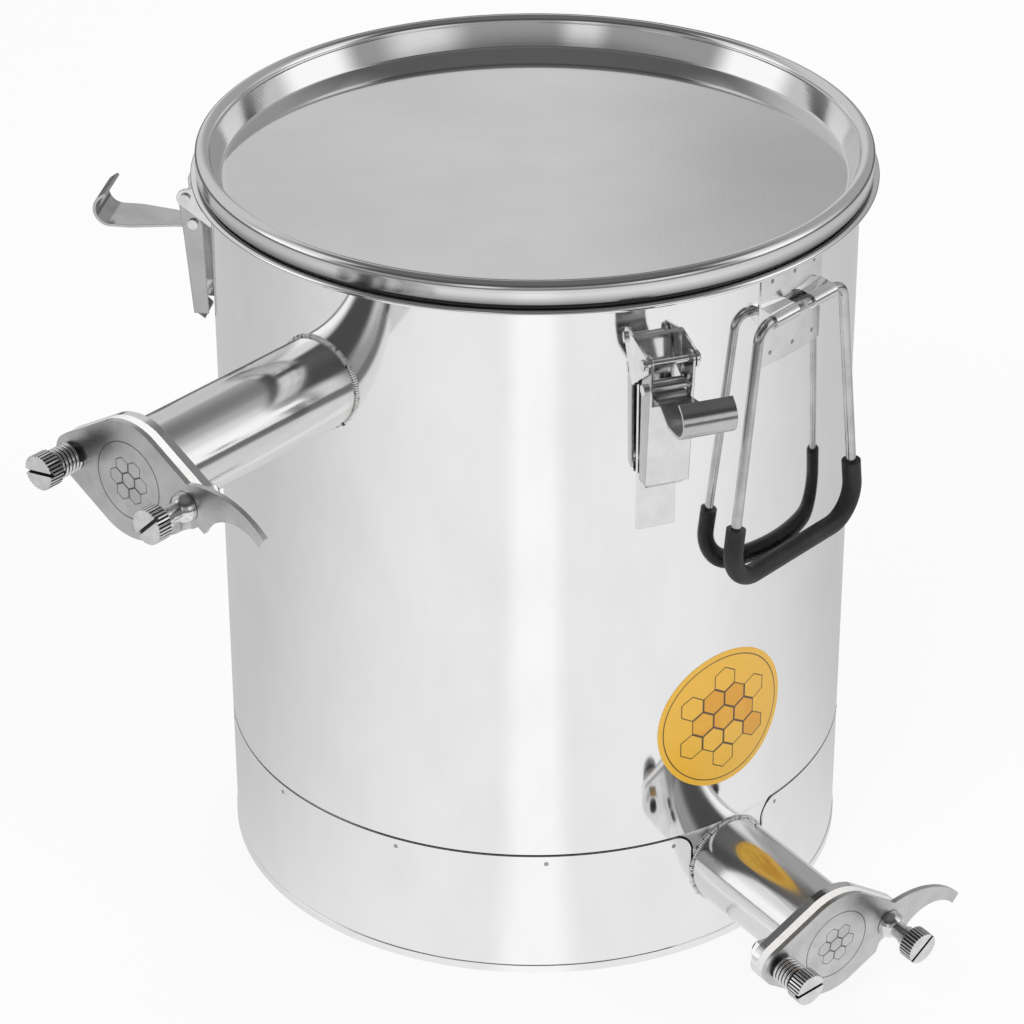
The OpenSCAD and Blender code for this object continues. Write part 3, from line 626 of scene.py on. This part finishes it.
def turned(name, outline, segments, shape=None, holes=()):
    """Turns a closed outline of radius by height round the tank's axis, with round holes for spouts."""
    bm = bmesh.new()
    rings = []
    for i in range(segments):
        a = 2 * math.pi * i / segments
        ring = []
        for j, (r, z) in enumerate(outline):
            if r == 0 and i:
                ring.append(rings[0][j])
                continue
            p = Vector((r * math.sin(a), -r * math.cos(a), z)) * MM
            ring.append(bm.verts.new(shape(p) if shape else p))
        rings.append(ring)
    count = len(outline)
    for i in range(segments):
        this, that = rings[i], rings[(i + 1) % segments]
        for j in range(count):
            k = (j + 1) % count
            corners = [this[j], that[j], that[k], this[k]]
            if outline[j][0] == 0 and outline[k][0] == 0:
                continue
            bm.faces.new([v for n, v in enumerate(corners) if v not in corners[:n]])
    for spout in holes:
        home = spout.inverted()

        def off_axis(p):
            q = home @ p
            return math.hypot(q.x, q.y) if q.z > -HOLE_BACK * MM else math.inf

        doomed = [f for f in bm.faces if off_axis(f.calc_center_median()) < SPOUT_R * MM]
        bmesh.ops.delete(bm, geom=doomed, context="FACES")
        for v in bm.verts:
            d = off_axis(v.co)
            if v.is_boundary and d < (SPOUT_R + HOLE_NEAR) * MM:
                q = home @ v.co
                r = math.hypot(v.co.x, v.co.y)
                k = (SPOUT_R + HOLE_CLEAR) * MM / d
                p = spout @ Vector((q.x * k, q.y * k, q.z))
                flat = math.hypot(p.x, p.y)
                v.co = Vector((p.x * r / flat, p.y * r / flat, p.z))
    bmesh.ops.remove_doubles(bm, verts=bm.verts, dist=0.001 * MM)
    for face in bm.faces:
        face.smooth = True
    mesh = bpy.data.meshes.new(name)
    bm.to_mesh(mesh)
    bm.free()
    mesh.set_sharp_from_angle(angle=CREASE)
    if holes:
        round_wall(mesh)
    return mesh


def skirt_edge(p):
    """Height of the skirt's top edge, in millimetres. It turns down in round corners by the lower spout."""
    top = SEAM_H - SEAM_GAP
    swing = math.atan2(p.x, -p.y) - math.radians(LOWER["az"])
    past = abs(math.remainder(swing, 2 * math.pi)) * BARREL_R - NOTCH_HALF
    if past <= 0:
        return LOWER["z"]
    across = max(NOTCH_CORNER - past, 0.0)
    return top - NOTCH_CORNER + math.sqrt(NOTCH_CORNER ** 2 - across ** 2)


def barrel():
    """Barrel with its rolled rim and the joggled tail inside the skirt, flush in the notch."""
    inner, tail = BARREL_R - SHEET, BARREL_R - 2 * SHEET
    roll = (RIM_R - RIM_ROLL, RIM_H - RIM_ROLL)
    under = RIM_H - SHEET
    meet = 180 - math.degrees(math.asin((under - roll[1]) / RIM_ROLL))
    tail_heights = rows(0.0, SEAM_H, 20)
    beside_spout = rows(326.0, 422.0, 24)
    heights = rows(SEAM_H, beside_spout[0], 8) + beside_spout + [430.0]
    outline = [(tail, 0.0), (inner, 0.0)] + [(inner, h) for h in tail_heights]
    outline += [(inner, SEAM_H), (BARREL_R, SEAM_H)] + [(BARREL_R, h) for h in heights]
    outline += arc((BARREL_R + RIM_NECK, under - RIM_NECK), RIM_NECK, 180, 90, 6)
    outline += arc(roll, RIM_ROLL, meet, 450, 20)
    outline += arc((inner + RIM_MOUTH, RIM_H - RIM_MOUTH), RIM_MOUTH, 90, 180, 6)
    outline += [(inner, h) for h in reversed(heights)]
    outline += [(inner, SEAM_H + SHEET), (tail, SEAM_H + SHEET)]
    outline += [(tail, h) for h in reversed(tail_heights)]
    low_side = outward(LOWER["az"])

    def cut_foot(p):
        if p.z > SEAM_H * MM:
            return p
        edge = skirt_edge(p)
        in_notch = edge < SEAM_H - SEAM_GAP and p.z > (edge - NOTCH_LAP) * MM
        if in_notch and math.hypot(p.x, p.y) > (inner - 0.1) * MM:
            flush = (BARREL_R - NOTCH_STEP) / inner
            return Vector((p.x * flush, p.y * flush, p.z))
        rise = math.tan(math.radians(FLOOR_SLOPE)) * (tail * MM - p.dot(low_side))
        return Vector((p.x, p.y, max(p.z, (FLOOR_LOW - TAIL_BELOW) * MM + rise)))

    return turned("barrel", outline, SHEET_SEGMENTS, cut_foot, [on_spout("upper"), on_spout("lower")])


def skirt():
    """Skirt with its folded hem and the notch for the lower spout."""
    inner, top = BARREL_R - SHEET, SEAM_H - SEAM_GAP
    hem = BARREL_R + HEM_OUT
    heights = [HEM_H + 2.0] + rows(HEM_H + 2.0, top, 19)
    fold = [(hem - 0.3, 0.0), (hem, 0.3), (hem, HEM_H - 0.6), (hem - 0.25, HEM_H - 0.15)]
    outline = [(inner, 0.0)] + fold + [(BARREL_R, HEM_H)]
    outline += [(BARREL_R, h) for h in heights] + [(BARREL_R, top), (inner, top)]
    outline += [(inner, h) for h in reversed(heights)]

    def cut_notch(p):
        rise = p.z / MM - NOTCH_LOW
        if rise <= 0:
            return p
        height = NOTCH_LOW + rise * (skirt_edge(p) - NOTCH_LOW) / (top - NOTCH_LOW)
        return Vector((p.x, p.y, height * MM))

    return turned("skirt", outline, SHEET_SEGMENTS, cut_notch, [on_spout("lower")])


def lid():
    """Lid: flat panel, sloping wall and a rolled bead that curls under the rim."""
    crown = (BEAD_R - BEAD_CROWN, BEAD_TOP - BEAD_CROWN)
    curl = (BEAD_R - BEAD_CURL, BEAD_LOW + BEAD_CURL)
    fillet, lean = 1.8, 68.6
    tangent = fillet * math.tan(math.radians(lean / 2))
    wall_top = crown[0] - BEAD_CROWN
    under = LID_PANEL_Z - SHEET
    panel_rings = (0.0, 60.0, 120.0)
    outline = [(r, under) for r in panel_rings] + [(LID_PANEL_R - 1.0, under)]
    outline += [(LID_PANEL_R + 0.4, under + 0.3)]
    outline += arc(crown, BEAD_CROWN - SHEET, 180, 0, 20)
    outline += arc(curl, BEAD_CURL - SHEET, 0, -90, 6) + arc(curl, BEAD_CURL, -90, 0, 8)
    outline += [(BEAD_R, z) for z in rows(curl[1], crown[1], 4)]
    outline += arc(crown, BEAD_CROWN, 0, 84, 12)
    ridge = ((0.3, 0.16), (0.0, 0.02), (-0.3, 0.16))
    outline += [(crown[0] + x, BEAD_TOP - drop) for x, drop in ridge]
    outline += arc(crown, BEAD_CROWN, 96, 180, 12)
    outline += [(wall_top - 0.35, crown[1] - 1.2)]
    outline += arc((LID_PANEL_R - tangent, LID_PANEL_Z + fillet), fillet, lean - 90, -90, 12)
    outline += [(r, LID_PANEL_Z) for r in reversed(panel_rings)]
    return turned("lid", outline, LID_SEGMENTS)


piece("barrel", barrel(), FINISH["polished_sheet"], "tank", "polished_steel", "tank_barrel")
piece("skirt", skirt(), FINISH["polished_sheet"], "tank", "polished_steel", "base_skirt")
piece("lid", lid(), FINISH["lid_sheet"], "lid", "polished_steel", "lid_pan")


# Repeats made by Geometry Nodes

def grow(name, sizes, material, build):
    """Makes a node tree with named sizes and returns it with the identifiers of its inputs."""
    tree = bpy.data.node_groups.new(name, "GeometryNodeTree")
    tree.interface.new_socket("Geometry", in_out="INPUT", socket_type="NodeSocketGeometry")
    tree.interface.new_socket("Geometry", in_out="OUTPUT", socket_type="NodeSocketGeometry")
    ids = {}
    for key, value in sizes.items():
        kind = "NodeSocketInt" if isinstance(value, int) else "NodeSocketFloat"
        ids[key] = tree.interface.new_socket(key, in_out="INPUT", socket_type=kind).identifier
    start, end = tree.nodes.new("NodeGroupInput"), tree.nodes.new("NodeGroupOutput")

    def add(kind, settings=None, sockets=None, out=0):
        node = tree.nodes.new(kind)
        for key, value in (settings or {}).items():
            setattr(node, key, value)
        for key, value in (sockets or {}).items():
            if isinstance(value, bpy.types.NodeSocket):
                tree.links.new(value, node.inputs[key])
            else:
                node.inputs[key].default_value = value
        return node.outputs[out]

    shape = build(add, {key: start.outputs[key] for key in sizes}, start.outputs["Geometry"])
    real = add("GeometryNodeRealizeInstances", None, {0: shape})
    dressed = add("GeometryNodeSetMaterial", None, {"Geometry": real, "Material": material})
    tree.links.new(dressed, end.inputs[0])
    return tree, ids


def run(name, grown, sizes, base, matrix=None):
    """Evaluates a tree on a base mesh and gives a plain mesh, set in place."""
    tree, ids = grown
    obj = bpy.data.objects.new(name, base)
    scene.collection.objects.link(obj)
    modifier = obj.modifiers.new(name, "NODES")
    modifier.node_group = tree
    for key, value in sizes.items():
        modifier[ids[key]] = value
    bpy.context.view_layer.update()
    view = obj.evaluated_get(bpy.context.evaluated_depsgraph_get())
    mesh = bpy.data.meshes.new_from_object(view)
    mesh.name = name
    bpy.data.objects.remove(obj)
    if matrix is not None:
        mesh.transform(matrix)
    return mesh


def spring_tree(add, size, _):
    """Wire swept along a coil."""
    coil = add("GeometryNodeCurveSpiral", None,
               {"Resolution": 40, "Rotations": size["curls"], "Start Radius": size["radius"],
                "End Radius": size["radius"], "Height": size["rise"]})
    wire = add("GeometryNodeCurvePrimitiveCircle", None, {"Resolution": 14, "Radius": size["wire"]})
    return add("GeometryNodeCurveToMesh", None, {"Curve": coil, "Profile Curve": wire, "Fill Caps": True})


SPRING = {"curls": float(SPRING_CURLS), "radius": SPRING_R * MM, "wire": SPRING_WIRE * MM,
          "rise": (SPRING_H - SPRING_LIFT - SPRING_SLACK - 2 * SPRING_WIRE) * MM}
for gate in GATES:
    spring_grown = grow(gate + "_spring_coil", SPRING, SPRING_FINISH[gate], spring_tree)
    foot = GATES[gate]["reach"] + SPRING_LIFT + SPRING_WIRE
    at = on_spout(gate) @ Matrix.Translation(Vector((-STUD_X, 0, foot)) * MM)
    mesh = run(gate + "_spring", spring_grown, SPRING, bpy.data.meshes.new("start"), at)
    piece(gate + "_spring", mesh, SPRING_FINISH[gate], "tank", "spring_steel", gate + "_pivot_spring")


def ripple_tree(add, size, path):
    """A drop of weld on each point of a path."""
    points = add("GeometryNodeMeshToPoints", None, {"Mesh": path})
    drop = add("GeometryNodeMeshIcoSphere", None, {"Radius": size["drop"], "Subdivisions": 2})
    return add("GeometryNodeInstanceOnPoints", None, {"Points": points, "Instance": drop})


def weld_path(gate):
    """Points where the tube's outside meets the wall, all the way round."""
    at = on_spout(gate)
    ring, lift = SPOUT_R + WELD_OUT, BARREL_R + WELD_OUT
    count = int(2 * math.pi * ring / WELD_STEP)
    points = []
    for i in range(count):
        a = 2 * math.pi * i / count
        w = 0.0
        for _ in range(12):
            p = at @ (Vector((ring * math.cos(a), ring * math.sin(a), w)) * MM)
            w += lift - math.hypot(p.x, p.y) / MM
        points.append(p)
    mesh = bpy.data.meshes.new("weld_path")
    mesh.from_pydata(points, [], [])
    return mesh


RIPPLE = {"drop": WELD_DROP * MM}
ripple_grown = grow("weld_ripple", RIPPLE, FINISH["weld_metal"], ripple_tree)
for gate in GATES:
    mesh = run(gate + "_weld", ripple_grown, RIPPLE, weld_path(gate))
    piece(gate + "_weld", mesh, FINISH["weld_metal"], "tank", "weld_steel", gate + "_spout_weld")


def dot_tree(add, size, path):
    """A flattened dot on each point, facing out from the wall."""
    points = add("GeometryNodeMeshToPoints", None, {"Mesh": path})
    ball = add("GeometryNodeMeshUVSphere", None, {"Segments": 16, "Rings": 8, "Radius": size["radius"]})
    squat = add("ShaderNodeCombineXYZ", None, {0: 1.0, 1: 1.0, 2: size["height"]})
    cap = add("GeometryNodeTransform", None, {"Geometry": ball, "Scale": squat})
    out = add("GeometryNodeInputNamedAttribute", {"data_type": "FLOAT_VECTOR"}, {"Name": "out"})
    turn = add("FunctionNodeAlignRotationToVector", {"axis": "Z"}, {"Vector": out})
    return add("GeometryNodeInstanceOnPoints", None, {"Points": points, "Instance": cap, "Rotation": turn})


def dot_places(frames):
    """One point for each frame, with the way out from the wall."""
    mesh = bpy.data.meshes.new("dot_places")
    mesh.from_pydata([f.translation for f in frames], [], [])
    out = mesh.attributes.new("out", "FLOAT_VECTOR", "POINT")
    for row, f in zip(out.data, frames):
        row.vector = f.col[2].to_3d()
    return mesh


SPOT = {"radius": 1.4 * MM, "height": 0.14}
spot_grown = grow("spot_weld_dots", SPOT, FINISH["spot_weld"], dot_tree)
spot_turns = [SPOT_START + 360 * i / SPOT_COUNT for i in range(SPOT_COUNT)]
# The two spots next to the lower spout sit at the corners of its notch.
corner_turn = math.degrees((NOTCH_HALF + NOTCH_CORNER) / BARREL_R)
spot_turns[1:3] = [LOWER["az"] - corner_turn, LOWER["az"] + corner_turn]
skirt_spots = [on_wall(turn, SPOT_Z) for turn in spot_turns]
mesh = run("skirt_spots", spot_grown, SPOT, dot_places(skirt_spots))
piece("skirt_spots", mesh, FINISH["spot_weld"], "tank", "weld_steel", "skirt_spot_welds")
for side, az in HANDLES.items():
    swings = [math.degrees(x / BARREL_R) for x in (-BRACKET_SPOT_X, 0.0, BRACKET_SPOT_X)]
    spots = [on_wall(az + swing, z, BRACKET_T) for swing in swings for z in BRACKET_SPOT_Z]
    mesh = run(side + "_bracket_spots", spot_grown, SPOT, dot_places(spots))
    piece(side + "_bracket_spots", mesh, FINISH["spot_weld"], "tank", "weld_steel")


def label_film():
    """Round film bent on the barrel."""
    bm = bmesh.new()
    rings, steps = 24, 96
    lift = BARREL_R + LABEL_T

    def at(u, v, r):
        a = math.radians(LABEL_AZ) + u / BARREL_R
        return Vector((r * math.sin(a), -r * math.cos(a), LABEL_Z + v)) * MM

    middle = bm.verts.new(at(0, 0, lift))
    last = None
    turns = [2 * math.pi * k / steps for k in range(steps)]
    radii = [LABEL_R * i / rings for i in range(1, rings + 1)]
    for r, height in [(r, lift) for r in radii] + [(LABEL_R, BARREL_R + LABEL_LAP)]:
        ring = [bm.verts.new(at(r * math.cos(t), r * math.sin(t), height)) for t in turns]
        for k in range(steps):
            n = (k + 1) % steps
            inside = [last[k], last[n]] if last else [middle]
            bm.faces.new([inside[0], ring[k], ring[n]] + inside[1:])
        last = ring
    mesh = bpy.data.meshes.new("label_film")
    bm.to_mesh(mesh)
    bm.free()
    mesh.set_sharp_from_angle(angle=CREASE)
    return mesh


piece("label_film", label_film(), FINISH["label_print"], "tank", "label_print", "label")


# Studio

def studio_floor():
    """Wide pale sheet. Seen in the steel, it is brightest in front and falls off to the sides."""
    s = Shade("studio_floor")
    x, y, _ = s.split(s.place())
    angle = x.atan2(-y)
    strip = 1.0 - angle.abs().step(0.04, 0.20)
    sides = (angle - 0.15).abs().step(0.5, 2.1)
    far = ((x * x + y * y) ** 0.5).step(1.1, 1.7)
    shade = (0.85 - 0.30 * sides + 0.17 * strip).min(1.0) * (1.0 - 0.8 * far)
    seen, shiny = s.rays()
    tint = s.mix(seen, s.join(shade, shade, shade), grey(1.0))
    glow = s.add("ShaderNodeEmission", None, {"Color": tint, "Strength": 1.0})
    paper = s.add("ShaderNodeBsdfDiffuse", None, {"Color": grey(0.85)})
    share = (seen * 0.88).max(shiny * 0.93)
    mixed = s.add("ShaderNodeMixShader", None, {0: share, 1: paper, 2: glow})
    s.add("ShaderNodeOutputMaterial", None, {"Surface": mixed})
    return s.material


FLOOR_HALF, FLOOR_DROP = 12.0, 0.0002
bm = bmesh.new()
bmesh.ops.create_grid(bm, x_segments=2, y_segments=2, size=FLOOR_HALF)
floor_mesh = bpy.data.meshes.new("studio_floor")
bm.to_mesh(floor_mesh)
bm.free()
floor_mesh.materials.append(studio_floor())
floor = bpy.data.objects.new("studio_floor", floor_mesh)
floor.location.z = -FLOOR_DROP
scene.collection.objects.link(floor)

# Room: grey walls that only the steel mirrors, with two tall windows in front and a dark ceiling
world = bpy.data.worlds.new("studio")
scene.world = world
world.use_nodes = True
sky = Shade("studio", world.node_tree)
direction = sky.add("ShaderNodeTexCoord", out="Generated")
dx, dy, dz = sky.split(direction)
swing = dx.atan2(-dy)
wide = swing.abs()
behind = 0.66 + 0.04 * dx.step(-0.06, 0.0) - 0.30 * dx.step(0.0, 0.09)
low = 1.0 - dz.step(0.28, 0.48)
windows = 2.0 - (swing + 0.31).abs().step(0.04, 0.20) - (swing - 0.72).abs().step(0.08, 0.35)
front = 0.08 + low * (0.28 + 0.45 * windows) + 0.80 * wide.step(1.15, 1.35)
side = 1.0 - 0.45 * wide.step(1.65, 1.85)
back_half = wide.step(1.9, 2.2)
walls = front * side * (1.0 - back_half) + behind * back_half
ceiling = dz.step(0.66, 0.85)
room = walls * (1.0 - ceiling) + 0.15 * ceiling
seen, shiny = sky.rays()
plain = sky.mix(shiny, grey(0.55), sky.join(room, room, room))
backdrop = sky.mix(seen, plain, grey(1.0))
glow = sky.add("ShaderNodeBackground", None, {"Color": backdrop, "Strength": 1.0})
sky.add("ShaderNodeOutputWorld", None, {"Surface": glow})


def softbox(name, place, aim, size, power):
    """Area lamp that the steel doesn't mirror."""
    lamp = bpy.data.lights.new(name, "AREA")
    lamp.shape = "RECTANGLE"
    lamp.size, lamp.size_y = size
    lamp.energy = power
    obj = bpy.data.objects.new(name, lamp)
    obj.location = place
    obj.rotation_euler = (Vector(aim) - Vector(place)).to_track_quat("-Z", "Y").to_euler()
    obj.visible_glossy = False
    scene.collection.objects.link(obj)


softbox("key", (-0.9, -1.6, 2.2), (0, 0, 0.25), (1.2, 1.2), 26)
softbox("fill", (1.8, -1.0, 1.4), (0, 0, 0.25), (1.0, 1.4), 12)
softbox("back", (0.3, 1.9, 2.0), (0, 0, 0.3), (1.6, 0.8), 14)

# Camera of the photograph
CAMERA_BACK, CAMERA_UP, CAMERA_PITCH = 1.96763, 1.30861, 0.509671
FOCAL_PX, FRAME_PX, MIDDLE_X_PX = 3667.25, 1024, 535
camera = bpy.data.cameras.new("photo_camera")
camera.sensor_width = 36.0
camera.lens = FOCAL_PX / FRAME_PX * camera.sensor_width
camera.shift_x = (FRAME_PX / 2 - MIDDLE_X_PX) / FRAME_PX
eye = bpy.data.objects.new("photo_camera", camera)
eye.location = (0, -CAMERA_BACK, CAMERA_UP)
eye.rotation_euler = (math.pi / 2 - CAMERA_PITCH, 0, 0)
scene.collection.objects.link(eye)
scene.camera = eye
scene.view_settings.view_transform = "Standard"
